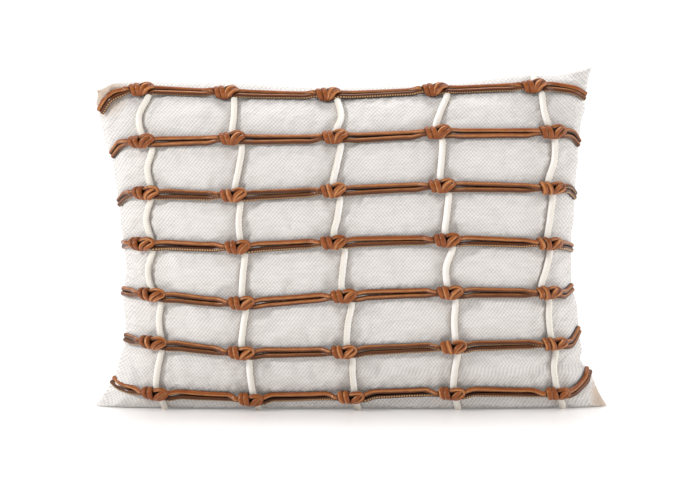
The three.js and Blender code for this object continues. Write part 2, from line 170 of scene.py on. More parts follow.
def front_y(x, z):
    u, v = place_of(x, z)
    return SEAM_Y - EDGE - FRONT_CROWN * float(swell(u, v)) - float(ear_flop(u, v))


def front_normal(x, z, reach=2 * MM):
    slope_x = (front_y(x + reach, z) - front_y(x - reach, z)) / (2 * reach)
    slope_z = (front_y(x, z + reach) - front_y(x, z - reach)) / (2 * reach)
    return Vector((slope_x, -1, slope_z)).normalized()


def on_front(x, z, lift):
    return Vector((x, front_y(x, z), z)) + front_normal(x, z) * lift


print("swell at the middle:", round(float(swell(0.0, 0.42)), 3), "front at y", round(front_y(0, 0.12), 4))

# %% [markdown]
# ## The net's layout
#
# A net tied by hand is never a perfect grid, so its knots are given one by one: x and z in
# millimetres, row by row from the top. Each row also has the height at which it meets the left and
# the right seam, and each upright leans a little between one knot and the next.

# %% Knots, row ends and the uprights' bows
KNOTS = [
    [(-184, 278), (-110, 275), (-21, 273), (72, 277), (158, 281)],
    [(-181, 233), (-104, 235), (-15, 236), (74, 240), (172, 241)],
    [(-176, 189), (-102, 187), (-16, 191), (77, 195), (171, 193)],
    [(-179, 145), (-98, 143), (-16, 147), (81, 149), (169, 145)],
    [(-171, 101), (-95, 95), (-7, 101), (84, 104), (168, 102)],
    [(-170, 59), (-96, 52), (-7, 53), (87, 57), (174, 58)],
    [(-170, 15), (-88, 12), (-1, 14), (86, 17), (178, 15)],
]
ROW_ENDS = [(260, 273), (222, 232), (180, 186), (143, 140), (102, 105), (61, 68), (23, 32)]
# How far each row's two end stretches bow up (+) or down (-) from straight, in millimetres.
END_BOWS = [(3.5, 1.5), (3, 3), (2, 2.5), (0.5, 0), (0, -3), (-0.5, -4.5), (-1, -4.5)]
# Each upright leaves a knot below it, right of the knot's middle, bends on its way down and goes
# into the next knot near its middle: [leaving, half way, arriving] for the five uprights, as
# millimetres to the right of the straight line between the two knots.
SPANS = [
    [(7, -2, 0), (7, 5, 2), (8, 9, 2), (11, 4, -1), (6, 2, 1)],
    [(8, 2, 3), (9, 6, 2), (6, 3, 0), (4, 2, 0), (4, 4, -1)],
    [(3, 0, 5), (6, 3, 3), (6, 4, 1), (6, 3, 0), (3, 2, 0)],
    [(7, -1, -1), (6, 3, 1), (9, 4, 0), (6, -1, -1), (3, 0, -4)],
    [(6, 4, 5), (4, 2, 1), (7, 4, 3), (5, 3, 3), (2, 0, 0)],
    [(6, 2, 0), (6, 4, 3), (7, 5, 4), (5, 3, 2), (3, 0, 1)],
]
STRAND = 4.5 * MM
UPRIGHT = 5.7 * MM
PRESS = 1.8 * MM


def row_middle(row):
    """A row's middle line as x, z points in metres, from seam to seam."""
    left_z, right_z = ROW_ENDS[row]
    knots = KNOTS[row]
    left = (side_x(-1, left_z * MM / HEIGHT) + 1.5 * MM, left_z * MM)
    right = (side_x(1, right_z * MM / HEIGHT) - 1.5 * MM, right_z * MM)
    bows = []
    for end, (x, z), bow in ((left, knots[0], END_BOWS[row][0]), (right, knots[-1], END_BOWS[row][1])):
        # Just past the knot the row still runs level; beyond that it turns towards its seam.
        across, rise = end[0] - x * MM, end[1] - z * MM
        bows.append((x * MM + 0.45 * across, z * MM + 0.2 * rise + 0.7 * bow * MM))
        bows.append((x * MM + 0.8 * across, z * MM + 0.58 * rise + bow * MM))
    return [left, bows[1], bows[0]] + [(x * MM, z * MM) for x, z in knots] + [bows[2], bows[3], right]


def upright_middle(column):
    """An upright's middle line as x, z points in metres, from the top seam to the floor."""
    points = []
    for row, spans in enumerate(SPANS):
        (x, z), (below_x, below_z) = KNOTS[row][column], KNOTS[row + 1][column]
        fall = below_z - z
        for share, aside in zip((0.1, 0.5, 0.88), spans[column]):
            points.append(((x + (below_x - x) * share + aside) * MM, (z + fall * share) * MM))
    first_x, first_z = KNOTS[0][column]
    last_x, last_z = KNOTS[-1][column]
    start_x = first_x + 1
    start_u, _ = place_of(start_x * MM, first_z * MM)
    top_z = HEIGHT - top_drop(start_u, 1.0)
    crossing_x = first_x + 0.6 * SPANS[0][column][0]
    above = [(start_x * MM, top_z - 0.5 * MM), (crossing_x * MM, (first_z + 1) * MM)]
    return above + points + [((last_x + 3) * MM, last_z * MM), ((last_x + 7) * MM, 1.8 * MM)]


def smooth_line(points, step):
    """Points along a centripetal-looking spline through the given points, `step` apart."""
    points = [Vector(p) for p in points]
    padded = [2 * points[0] - points[1]] + points + [2 * points[-1] - points[-2]]
    line = []
    for n in range(1, len(padded) - 2):
        a, b, c, d = padded[n - 1:n + 3]
        count = max(2, int((c - b).length / step * 3))
        for k in range(count):
            t = k / count
            line.append(0.5 * (2 * b + (c - a) * t + (2 * a - 5 * b + 4 * c - d) * t**2
                               + (3 * b - a - 3 * c + d) * t**3))
    line.append(points[-1])
    lengths = np.concatenate([[0], np.cumsum([(q - p).length for p, q in zip(line, line[1:])])])
    even = np.linspace(0, lengths[-1], max(2, int(lengths[-1] / step)) + 1)
    flat = np.array([tuple(p) for p in line])
    return np.stack([np.interp(even, lengths, flat[:, k]) for k in range(flat.shape[1])], axis=1)


row_lines = [smooth_line([(x, 0, z) for x, z in row_middle(r)], 2 * MM)[:, [0, 2]] for r in range(7)]
upright_lines = [smooth_line([(x, 0, z) for x, z in upright_middle(c)], 2 * MM)[:, [0, 2]]
                 for c in range(5)]
knot_places = np.array([k for row in KNOTS for k in row]) * MM
print("net:", len(row_lines), "rows,", len(upright_lines), "uprights,", len(knot_places), "knots")

# %% [markdown]
# ## The cover as cloth
#
# The cover could be modelled straight from the dome, but cloth under a net behaves like cloth: held
# where the cords press, blown up between them, wrinkled where there is spare fabric. So a fine sheet
# is laid over the dome, front and back in one closed bag, the points under the cords, at the seams,
# at the floor and along the zip are pinned, and Blender's cloth is run with air pressure inside.

# %% A closed bag of fine cloth
COLUMNS, ROWS = 150, 104


def spaced(count, pack):
    t = np.linspace(-1, 1, count + 1)
    return t + (np.sin(t * math.pi / 2) - t) * pack


U_LINES = spaced(COLUMNS, 0.4)
V_LINES = (spaced(ROWS, 0.35) + 1) / 2
LIP = 3 * MM
for target in (ZIP_Z - LIP, ZIP_Z, ZIP_Z + LIP):
    V_LINES[np.argmin(np.abs(V_LINES - target / HEIGHT))] = target / HEIGHT
ZIP_ROW = int(np.argmin(np.abs(V_LINES - ZIP_Z / HEIGHT)))
U, V = np.meshgrid(U_LINES, V_LINES)
X = outline_x(U, V)
Z = HEIGHT * V - top_drop(U, V)


def distance_to(line, x, z):
    """How far each grid point lies from a line of x, z points."""
    best = np.full(x.shape, 1.0)
    for px, pz in line:
        best = np.minimum(best, np.hypot(x - px, z - pz))
    return best


row_distance = np.min([distance_to(line, X, Z) for line in row_lines], axis=0)
upright_distance = np.min([distance_to(line, X, Z) for line in upright_lines], axis=0)
knot_distance = distance_to(knot_places, X, Z)


def groove(distance, half_width, depth):
    return depth * np.exp(-(distance / half_width) ** 2)


dent = np.maximum.reduce([
    groove(row_distance, 6 * MM, PRESS),
    groove(upright_distance, 5 * MM, PRESS),
    groove(knot_distance, 11 * MM, 3.2 * MM),
])
dent *= np.clip((1 - np.abs(U)) * 20, 0, 1) * np.clip((1 - V) * 20, 0, 1)
front_sheet = SEAM_Y - EDGE * 0.5 - FRONT_CROWN * swell(U, V) + dent

zip_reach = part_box("zip_upper_tape")[1][0] + 3 * MM
away = np.abs(Z - ZIP_Z)
crown = SEAM_Y + EDGE * 0.5 + BACK_CROWN * swell(U, V)
valley = ZIP_FACE + 9 * MM * np.clip((away - LIP) / (23 * MM), 0, None)
back_sheet = np.minimum(crown, valley)
rim = (np.abs(U) > 0.9999) | (V > 0.9999) | (V < 0.0001)

# The corners are all different: the top left ear flops forward, the bottom left one is stuffed.
flop = ear_flop(U, V)
from_bottom_left = np.hypot((U + 1) * WIDTH / 2, V * HEIGHT)
front_sheet -= flop
back_sheet -= flop
Z = Z - 0.3 * flop
X = X + 0.2 * flop
stuffing = 6 * MM * np.exp(-((from_bottom_left - 20 * MM) / (13 * MM)) ** 2)
stuffing *= np.clip((1 - np.abs(U)) * 40, 0, 1) * np.clip(V * 14, 0, 1)
front_sheet -= stuffing
back_sheet += stuffing

print("grid", U.shape, "rows near the zip:", ZIP_ROW)

# %% Join the two sheets and pin them


def bag_mesh(name, front, back):
    """One closed mesh: the front sheet, the back sheet and the rim that they share."""
    rows, columns = front.shape
    verts = np.stack([X, front, Z], axis=-1).reshape(-1, 3).tolist()
    back_index = -np.ones(front.shape, dtype=int)
    edge = (np.abs(U) > 0.9999) | (V > 0.9999)
    for j in range(rows):
        for i in range(columns):
            if edge[j, i]:
                back_index[j, i] = j * columns + i
            else:
                back_index[j, i] = len(verts)
                verts.append((X[j, i], back[j, i], Z[j, i]))
    for j, i in np.argwhere(edge):
        verts[j * columns + i][1] = SEAM_Y - flop[j, i]
    faces = []
    for j in range(rows - 1):
        for i in range(columns - 1):
            a = j * columns + i
            faces.append((a, a + 1, a + columns + 1, a + columns))
            b = back_index
            faces.append((b[j, i], b[j + 1, i], b[j + 1, i + 1], b[j, i + 1]))
    # Along the floor the two sheets have edges of their own, joined by one more row of faces.
    for i in range(columns - 1):
        faces.append((i, int(back_index[0, i]), int(back_index[0, i + 1]), i + 1))
    mesh = bpy.data.meshes.new(name)
    mesh.from_pydata(verts, [], [tuple(dict.fromkeys(int(v) for v in face)) for face in faces])
    mesh.update()
    return mesh, back_index


cloth_mesh, back_index = bag_mesh("bag", front_sheet, back_sheet)
bag = bpy.data.objects.new("bag", cloth_mesh)
bpy.context.collection.objects.link(bag)

held_front = np.maximum.reduce([
    np.clip(1.6 - row_distance / (4.2 * MM), 0, 1),
    np.clip(1.6 - upright_distance / (2.6 * MM), 0, 1),
    np.clip(1.6 - knot_distance / (7 * MM), 0, 1),
])
held_back = np.clip(1.5 - away / (10 * MM), 0, 1) * np.clip((zip_reach - np.abs(X)) / (6 * MM), 0, 1)
held_back = np.maximum(held_back, np.clip(1.5 - away / (3 * MM), 0, 1))
edge_hold = np.where(rim, 1.0, 0.0)
floor_hold = np.clip(1.5 - Z / (2 * MM), 0, 1)
held_front = np.maximum.reduce([held_front, edge_hold, floor_hold])
held_back = np.maximum.reduce([held_back, edge_hold, floor_hold])

pins = bag.vertex_groups.new(name="held")
for grid, index in ((held_front, None), (held_back, back_index)):
    for j in range(ROWS + 1):
        for i in range(COLUMNS + 1):
            number = j * (COLUMNS + 1) + i if index is None else int(index[j, i])
            weight = float(grid[j, i])
            if weight > 0:
                pins.add([number], weight, "REPLACE")
print("bag:", len(cloth_mesh.vertices), "points")

# %% Blow the bag up under its net
FRONT_CAP = 7.5 * MM
BACK_CAP = 6 * MM
start = np.empty(len(cloth_mesh.vertices) * 3)
cloth_mesh.vertices.foreach_get("co", start)
start = start.reshape(-1, 3)


def run_cloth(obj, frames):
    cloth = obj.modifiers.new("Cloth", "CLOTH")
    settings = cloth.settings
    settings.quality = 6
    settings.mass = 0.15
    settings.tension_stiffness = 12
    settings.compression_stiffness = 12
    settings.shear_stiffness = 4
    settings.bending_stiffness = 0.25
    settings.use_pressure = True
    settings.uniform_pressure_force = 5
    settings.vertex_group_mass = "held"
    settings.shrink_min = -0.035
    settings.effector_weights.gravity = 0
    cloth.collision_settings.use_self_collision = False
    cloth.point_cache.frame_start = 1
    cloth.point_cache.frame_end = frames
    for f in range(1, frames + 1):
        bpy.context.scene.frame_set(f)
    shaped = obj.evaluated_get(bpy.context.evaluated_depsgraph_get())
    moved = np.empty(len(obj.data.vertices) * 3)
    shaped.data.vertices.foreach_get("co", moved)
    obj.modifiers.remove(cloth)
    bpy.context.scene.frame_set(1)
    return moved.reshape(-1, 3)


moved = run_cloth(bag, 20)
step = moved - start
size = np.linalg.norm(step, axis=1, keepdims=True) + 1e-9
cap = np.full((len(start), 1), FRONT_CAP)
cap[(COLUMNS + 1) * (ROWS + 1):] = BACK_CAP
capped = start + step / size * cap * np.tanh(size / cap)
capped[:, 2] = np.maximum(capped[:, 2], 0)
print("largest move", round(float(size.max()) / MM, 1), "mm, mean", round(float(size.mean()) / MM, 2), "mm")
front_points = capped[:(COLUMNS + 1) * (ROWS + 1)].reshape(ROWS + 1, COLUMNS + 1, 3)
back_points = capped[back_index.ravel()].reshape(ROWS + 1, COLUMNS + 1, 3)
bpy.data.objects.remove(bag)

# %% [markdown]
# ## Sheets with a real thickness
#
# The bag is cut back into its sewn pieces: the front, and the back's upper and lower parts, which
# part along the zip. Each sheet gets its own flat layout (UV) in metres so that the weave runs with
# the cloth, and a solid thickness.

# %% Cut the bag into panels


def only(obj):
    bpy.ops.object.select_all(action="DESELECT")
    obj.select_set(True)
    bpy.context.view_layer.objects.active = obj


def mesh_object(name, verts, faces):
    mesh = bpy.data.meshes.new(name)
    mesh.from_pydata(verts, [], faces)
    mesh.update()
    obj = bpy.data.objects.new(name, mesh)
    bpy.context.collection.objects.link(obj)
    return obj


def give_wall(obj, thickness):
    """Thickens a sheet inwards and smooths it."""
    only(obj)
    wall = obj.modifiers.new("Thickness", "SOLIDIFY")
    wall.thickness = thickness
    wall.offset = -1
    bpy.ops.object.modifier_apply(modifier=wall.name)
    bpy.ops.object.shade_smooth_by_angle(angle=math.radians(50))


def grid_faces(rows, columns, flip=False):
    """The four-sided faces of a grid of points, which are numbered row by row."""
    faces = []
    for j in range(rows - 1):
        for i in range(columns - 1):
            a = j * columns + i
            ring = (a, a + 1, a + columns + 1, a + columns)
            faces.append(ring[::-1] if flip else ring)
    return faces


def panel(name, points, keep, flip):
    """A panel from a grid of points. keep says which cells belong to it, flip turns it to face +Y."""
    rows, columns = points.shape[:2]
    used = {}
    verts, faces = [], []

    def vert(j, i):
        key = (j, i)
        if key not in used:
            used[key] = len(verts)
            verts.append(tuple(points[j, i]))
        return used[key]

    for j in range(rows - 1):
        for i in range(columns - 1):
            if keep(j, i):
                ring = [vert(j, i), vert(j, i + 1), vert(j + 1, i + 1), vert(j + 1, i)]
                faces.append(ring[::-1] if flip else ring)
    obj = mesh_object(name, verts, faces)
    layout = obj.data.uv_layers.new(name="cloth")
    where = {index: key for key, index in used.items()}
    for loop in obj.data.loops:
        j, i = where[loop.vertex_index]
        layout.data[loop.index].uv = (U_LINES[i] * WIDTH / 2, V_LINES[j] * HEIGHT)
    give_wall(obj, FABRIC)
    return obj


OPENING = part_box("zip_upper_coil")[1][0] + 3 * MM


def beside_zip(j, i):
    return abs(X[j, i]) > OPENING and abs(X[j, i + 1]) > OPENING


def upper_cell(j, i):
    return j > ZIP_ROW or (j == ZIP_ROW and beside_zip(j, i))


def lower_cell(j, i):
    return j < ZIP_ROW - 1 or (j == ZIP_ROW - 1 and beside_zip(j, i))


front_cover = panel("cover_front", front_points, lambda j, i: True, False)
upper_cover = panel("cover_back_upper", back_points, upper_cell, True)
lower_cover = panel("cover_back_lower", back_points, lower_cell, True)
for cover in (front_cover, upper_cover, lower_cover):
    print(cover.name, len(cover.data.polygons), "faces")

# %% [markdown]
# The insert is the same form a few millimetres further in: a thin casing in two halves, and the
# fibre filling inside it. They are hidden by the cover, but they are there when it is opened.

# %% Insert casing and filling


def inward(points, depth, sign):
    """The grid moved inside by depth: towards the seam's plane and away from the rim."""
    coarse = points[::3, ::3].copy()
    middle = HEIGHT / 2
    coarse[..., 0] *= 1 - depth / (WIDTH / 2)
    coarse[..., 2] = np.maximum(middle + (coarse[..., 2] - middle) * (1 - 2 * depth / HEIGHT), depth)
    past = np.maximum(sign * (coarse[..., 1] - SEAM_Y) - depth, 0.2 * MM)
    coarse[..., 1] = SEAM_Y + sign * past
    return coarse


def casing_half(name, points, flip):
    rows, columns = points.shape[:2]
    obj = mesh_object(name, points.reshape(-1, 3).tolist(), grid_faces(rows, columns, flip))
    give_wall(obj, CASING)
    return obj


def filling_object(front, back):
    """Both grids and a band of faces round their rims."""
    rows, columns = front.shape[:2]
    count = rows * columns
    verts = front.reshape(-1, 3).tolist() + back.reshape(-1, 3).tolist()
    faces = []
    for a, b, c, d in grid_faces(rows, columns):
        faces += [(a, b, c, d), (count + a, count + d, count + c, count + b)]
    numbers = np.arange(count).reshape(rows, columns)
    ring = [*numbers[0], *numbers[1:, -1], *numbers[-1, -2::-1], *numbers[-2:0:-1, 0]]
    ring = [int(number) for number in ring]
    for a, b in zip(ring, ring[1:] + ring[:1]):
        faces.append((b, a, count + a, count + b))
    obj = mesh_object("fibre_fill", verts, faces)
    only(obj)
    bpy.ops.object.shade_smooth_by_angle(angle=math.radians(50))
    return obj


CASING = 0.5 * MM
lining_front = casing_half("insert_front", inward(front_points, 4 * MM, -1), False)
lining_back = casing_half("insert_back", inward(back_points, 4.5 * MM, 1), True)
filling = filling_object(inward(front_points, 6 * MM, -1), inward(back_points, 6.5 * MM, 1))
print("insert:", [len(o.data.polygons) for o in (lining_front, lining_back, filling)])

# %% [markdown]
# ## Cords as long stitched tubes
#
# Round leather cord is a strip folded round a core and sewn along one side, so it has a raised seam
# with a row of small stitches. One function sweeps that section along a line: a circle with a ridge
# on it, and the ridge rises and falls once for each stitch.

# %% Sweep a stitched cord
STITCH_PITCH = 2.2 * MM


def turned_frames(line, heading):
    """Directions along, out and sideways for each point, carried along without a twist.

    Where the cord runs along its heading, its first side is turned back to face the front, so that
    a seam keeps its place from one knot to the next. In between, the turn is shared out evenly."""
    along = np.gradient(line, axis=0)
    along /= np.linalg.norm(along, axis=1, keepdims=True)
    front = np.array([0.0, -1.0, 0.0])
    normal = front - along[0] * np.dot(front, along[0])
    outs = []
    for tangent in along:
        normal = normal - tangent * np.dot(normal, tangent)
        normal /= np.linalg.norm(normal)
        outs.append(normal)
    outs = np.array(outs)
    sides = np.cross(along, outs)
    turns = np.arctan2(sides @ front, outs @ front)
    calm = np.abs(along @ np.array(heading, dtype=float)) > 0.9
    places = np.arange(len(line))
    turns = np.interp(places, places[calm], np.unwrap(turns[calm]))
    return outs, sides, turns


def cord_parts(line, radius, seam_angle, heading, sides=14, ridge=0.13, phase=0.0, flat=None):
    """Verts, faces and UVs of one stitched cord along line; flat widens it along X where pressed.

    The seam is seam_angle round from the front: to the left of a cord that runs down, and below
    one that runs to the right."""
    outs, sideways, turns = turned_frames(line, heading)
    lengths = np.concatenate([[0], np.cumsum(np.linalg.norm(np.diff(line, axis=0), axis=1))])
    angles = 2 * math.pi * np.arange(sides) / sides
    off = np.abs((angles + math.pi) % (2 * math.pi) - math.pi)
    stitches = 0.5 + 0.5 * np.cos(2 * math.pi * lengths / STITCH_PITCH)
    shows = np.ones(len(line)) if flat is None else np.clip(1 - 1.6 * flat, 0, 1)
    bump = ridge * np.exp(-(off / 0.34) ** 2)[None, :] * ((0.2 + 0.8 * stitches) * shows)[:, None]
    valley = 0.06 * np.exp(-((off - 0.66) / 0.2) ** 2)[None, :] * shows[:, None]
    reach = radius * (1 + bump - valley)
    turned = angles[None, :] + (seam_angle + turns + 0.35 * np.sin(lengths / (90 * MM) + phase))[:, None]
    offset = (outs[:, None, :] * np.cos(turned)[..., None]
              + sideways[:, None, :] * np.sin(turned)[..., None]) * reach[..., None]
    if flat is not None:
        offset *= 1 + np.array([0.26, -0.12, -0.12])[None, None, :] * flat[:, None, None]
    verts = [tuple(v) for v in (line[:, None, :] + offset).reshape(-1, 3)]
    faces, face_uvs = [], []
    for n in range(len(line) - 1):
        for k in range(sides):
            a, b = n * sides + k, n * sides + (k + 1) % sides
            faces.append((a, b, b + sides, a + sides))
            left, right = k / sides, (k + 1) / sides
            near, far = lengths[n], lengths[n + 1]
            face_uvs.append(((left, near), (right, near), (right, far), (left, far)))
    for ring, order in ((0, -1), (len(line) - 1, 1)):
        cap = [ring * sides + k for k in range(sides)][::order]
        faces.append(tuple(cap))
        face_uvs.append(tuple((0.5, lengths[ring]) for _ in cap))
    return verts, faces, face_uvs, np.repeat(shows, sides)


def cords_object(name, cords):
    """One object from several swept cords."""
    verts, faces, uvs, seams = [], [], [], []
    for part_verts, part_faces, part_uvs, part_seams in cords:
        shift = len(verts)
        seams.append(part_seams)
        verts += part_verts
        faces += [tuple(v + shift for v in face) for face in part_faces]
        uvs += part_uvs
    obj = mesh_object(name, verts, faces)
    seen = obj.data.attributes.new(name="seam", type="FLOAT", domain="POINT")
    seen.data.foreach_set("value", np.concatenate(seams))
    layout = obj.data.uv_layers.new(name="cord")
    layout.data.foreach_set("uv", [value for face in uvs for corner in face for value in corner])
    only(obj)
    bpy.ops.object.mode_set(mode="EDIT")
    bpy.ops.mesh.select_all(action="SELECT")
    bpy.ops.mesh.normals_make_consistent(inside=False)
    bpy.ops.object.mode_set(mode="OBJECT")
    bpy.ops.object.shade_smooth_by_angle(angle=math.radians(60))
    return obj


# %% The upright ivory cords
CORD_STEP = 0.7 * MM
UPRIGHT_SEAMS = (-0.7, -1.0, 1.3, -1.2, -0.9)


def length_of(line):
    return round(float(np.linalg.norm(np.diff(line[:, :3], axis=0), axis=1).sum()) / MM)


uprights, upright_lengths = [], []
for column in range(5):
    lift = UPRIGHT / 2 - PRESS + 0.2 * MM
    route = [on_front(x, z, lift) for x, z in upright_middle(column)]
    line = smooth_line(route, CORD_STEP)
    parts = cord_parts(line, UPRIGHT / 2, UPRIGHT_SEAMS[column], (0, 0, 1), sides=16, phase=column)
    uprights.append(cords_object(f"ivory_upright_{column + 1}", [parts]))
    upright_lengths.append(length_of(line))
print("uprights:", [len(o.data.polygons) for o in uprights], "faces, lengths in mm:", upright_lengths)

# %% [markdown]
# ## The knots
#
# Each row is tied round each upright with both strands at once. Seen from the front a knot has two
# parts: on the left a collar, where the strands wrap down over their own incoming pair, and on the
# right a loop, where they sweep up from lower left to upper right and turn back. Between the two is
# a dark gap, and the pair leaves to the right from under the loop.
#
# A knot is written once, as the route of one strand: how far along the row, how far off the cover
# and how far up. The second strand follows the same route, shifted along it so that the two lie
# side by side. Small seeded changes in size keep the knots from being copies of each other.

# %% One strand's way through a knot
rng = np.random.default_rng(7)


def knot_route(strand, size):
    """Points (along, off, up, pressed flat) in millimetres; strand is 1 upper and -1 lower."""
    band = 2.4 * strand
    tall = 3.9 * size * (1 + 0.07 * strand)
    deep = 4.4 + 0.3 * strand
    entering = [
        (-24, 0.0, 2.2 * strand, 0),
        (-18, 0.6 + 0.5 * strand, 1.6 * strand, 0),
        (-14, 1.4 + 1.1 * strand, 1.0 * strand, 0.2),
        (-9, 0.6, 0.9 * strand, 0),
    ]
    if strand > 0:
        # The upper strand arches over the top of the loop and comes down its right side.
        looping = [
            (-3, 0.6, 2.0, 0),
            (1.5, 2.2, 3.9, 0.4),
            (6.0, 2.8, 4.9, 0.6),
            (10.2, 2.2, 3.6, 0.4),
            (11.2, 2.6, 0.9, 0.3),
            (9.0, 4.4, -0.9, 0.6),
            (6.2, 3.9, -2.6, 0.8),
            (3.6, 1.0, -4.2, 0.5),
        ]
    else:
        # The lower strand fills the loop: up behind it, then across the front from top right.
        looping = [
            (-3, 0.0, -0.8, 0),
            (3, -0.8, 0.2, 0),
            (7.6, -0.4, 2.2, 0.2),
            (8.2, 2.6, 3.2, 0.5),
            (6.2, 4.9, 2.0, 0.9),
            (3.6, 5.2, -0.2, 1),
            (1.6, 3.6, -2.8, 0.9),
            (0.6, 0.6, -4.1, 0.5),
        ]
    collar = [
        (-1.6 + 0.6 * band, -3.2, -2.2, 0.2),
        (-4.2 + 0.8 * band, -3.2, 2.0, 0.2),
        (-6.6 + band, 0.2, tall + 0.1, 0.7),
        (-6.5 + band, deep - 0.9, tall - 1.2, 1),
        (-5.6 + band, deep + 0.4, 0, 1),
        (-4.4 + band, deep - 0.9, -tall + 1.2, 1),
        (-3.6 + band, 0.2, -tall - 0.1, 0.7),
        (-1.6 + 0.6 * band, -2.6, -2.4, 0.2),
    ]
    leaving = [
        (3, -1.6, -1.6 + 0.8 * strand, 0),
        (8, 0.2, -1.4 + 1.7 * strand, 0),
        (13, 1.0, -0.8 + 2.4 * strand, 0),
        (18, 0.5, -0.3 + 2.6 * strand, 0),
        (24, 0.0, 2.5 * strand, 0),
    ]
    return entering + looping + collar + leaving


def row_place(middle, x):
    """A point on the cover under a row's middle line, with the row's own three directions."""
    def under(at):
        at = min(max(at, middle[0, 0]), middle[-1, 0])
        return on_front(at, float(np.interp(at, middle[:, 0], middle[:, 1])), 0)
    along = (under(x + 2 * MM) - under(x - 2 * MM)).normalized()
    out = front_normal(x, float(np.interp(x, middle[:, 0], middle[:, 1])))
    out = (out - along * out.dot(along)).normalized()
    return under(x), out, out.cross(along)


STRAND_RADIUS = 0.98 * STRAND / 2
REST = STRAND / 2 - PRESS + 0.4 * MM
KNOT_LIFT = 3.0 * MM
TOP_KNOT_LIFT = 1.8 * MM
TOP_KNOT_DROP = 1.9 * MM
KNOT_REACH = 24
LAST_COLUMN = 4


def row_route(row, strand):
    """One strand of a row, knots and all: points with a fourth number for how flat it is pressed."""
    middle = row_lines[row]
    left, right = middle[0, 0], middle[-1, 0]

    def settle(x, off, up, flat=0.0):
        place, out, upward = row_place(middle, x)
        place = place + out * off + upward * up
        route.append((place.x, place.y, place.z, flat * MM))

    route = []
    beside = strand * (STRAND / 2 + 0.1 * MM)
    knots = KNOTS[row]
    start = knots[0][0] * MM - KNOT_REACH * MM
    for share in (0.0, 0.35, 0.7):
        if start - left > 6 * MM or share == 0:
            settle(left + max(start - left, 0) * share, REST, beside * 0.87)
    for n, (knot_x, _) in enumerate(knots):
        size = 1 + 0.05 * rng.standard_normal()
        stretch = 0.90 + 0.03 * rng.standard_normal()
        for along, off, up, flat in knot_route(strand, size):
            if n == LAST_COLUMN and along > 0 and row > 1:
                # The lower knots beside the right seam are pulled tight.
                along, up = along * 0.86, up * 0.84
            x = (knot_x + along * stretch) * MM
            if left + 4 * MM < x < right - 4 * MM:
                rise = min(1, max(0, (KNOT_REACH - abs(along)) / 14))
                rise = rise * rise * (3 - 2 * rise)
                lift = (KNOT_LIFT if row else TOP_KNOT_LIFT) * rise
                drop = 0 if row else TOP_KNOT_DROP * rise
                settle(x, REST + lift + off * MM, up * MM - drop, flat)
        if n + 1 < len(knots):
            gap = knots[n + 1][0] - knot_x
            for share, spread in ((0.42, 1.0), (0.52, 0.95), (0.62, 0.9)):
                settle((knot_x + gap * share) * MM, REST, beside * spread)
    start = knots[-1][0] * MM + KNOT_REACH * MM
    for share in (0.4, 0.7, 1.0):
        if right - start > 6 * MM or share == 1:
            settle(right - max(right - start, 0) * (1 - share), REST, beside * 0.87)
    return smooth_line(route, CORD_STEP)


rows, strand_lengths = [], []
for row in range(7):
    cords = []
    for strand in (1, -1):
        route = row_route(row, strand)
        strand_lengths.append(length_of(route))
        seam = (1.05 if strand < 0 else 1.7) + 0.5 * math.sin(row * 2.1 + strand)
        cords.append(cord_parts(route[:, :3], STRAND_RADIUS, seam, (1, 0, 0), phase=row,
                                flat=route[:, 3] / MM))
    rows.append(cords_object(f"tan_row_{row + 1}", cords))
print("rows:", [len(o.data.polygons) for o in rows])
print("strand lengths, upper and lower, in mm:", strand_lengths)

# %% [markdown]
# ## The zip across the back
#
# The zip lies under the slot between the two back panels. Its coils are rows of small moulded
# turns: one turn is made as a rounded bar with a thicker head, and repeated along the tape.

# %% One turn of the coil, repeated
COIL_PITCH = 2.0 * MM


def rounded_box(name, low, high, edge, segments=2):
    """A box between two corners with rounded edges, in place."""
    middle = [(a + b) / 2 for a, b in zip(low, high)]
    size = [b - a for a, b in zip(low, high)]
    bpy.ops.mesh.primitive_cube_add(size=1)
    obj = bpy.context.active_object
    obj.name = name
    bpy.ops.object.mode_set(mode="EDIT")
    bpy.ops.mesh.select_all(action="SELECT")
    bpy.ops.transform.resize(value=size, center_override=(0, 0, 0))
    bpy.ops.transform.translate(value=middle)
    bpy.ops.mesh.bevel(offset=edge, segments=segments)
    bpy.ops.object.mode_set(mode="OBJECT")
    return obj


def coil_row(name, node, inner_edge, shift):
    """Turns along one coil; inner_edge is where their heads end, beside the slider's post."""
    low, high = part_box(node)
    inner, outer = sorted((inner_edge, high[2] if inner_edge < low[2] + 0.5 * MM else low[2]))
    head_low, head_high = (inner, inner + 0.9 * MM) if inner_edge == inner else (outer - 0.9 * MM, outer)
    first = low[0] + shift + 0.2 * MM
    bar = rounded_box(name, (first, low[1], inner), (first + 1.0 * MM, high[1], outer), 0.3 * MM)
    head = rounded_box(name + "_head", (first - 0.15 * MM, low[1] - 0.05 * MM, head_low),
                       (first + 1.15 * MM, high[1] + 0.05 * MM, head_high), 0.3 * MM)
    only(bar)
    head.select_set(True)
    bpy.ops.object.join()
    row_of = bar.modifiers.new("Turns", "ARRAY")
    row_of.count = int((high[0] - low[0] - shift) / COIL_PITCH)
    row_of.use_relative_offset = False
    row_of.use_constant_offset = True
    row_of.constant_offset_displace = (COIL_PITCH, 0, 0)
    only(bar)
    bpy.ops.object.modifier_apply(modifier=row_of.name)
    bpy.ops.object.shade_smooth_by_angle(angle=math.radians(40))
    return bar


upper_coil = coil_row("zip_coil_upper", "zip_upper_coil", ZIP_Z + 0.35 * MM, 0)
lower_coil = coil_row("zip_coil_lower", "zip_lower_coil", ZIP_Z - 0.35 * MM, COIL_PITCH / 2)
print("coils:", len(upper_coil.data.polygons), "+", len(lower_coil.data.polygons), "faces")

# %% [markdown]
# The slider, its pull and the two end stops are cast or pressed metal with softened edges. Each is
# worked up from the frame's own solid, whose sizes and pivot it keeps exactly.

# %% Soften the metal pieces


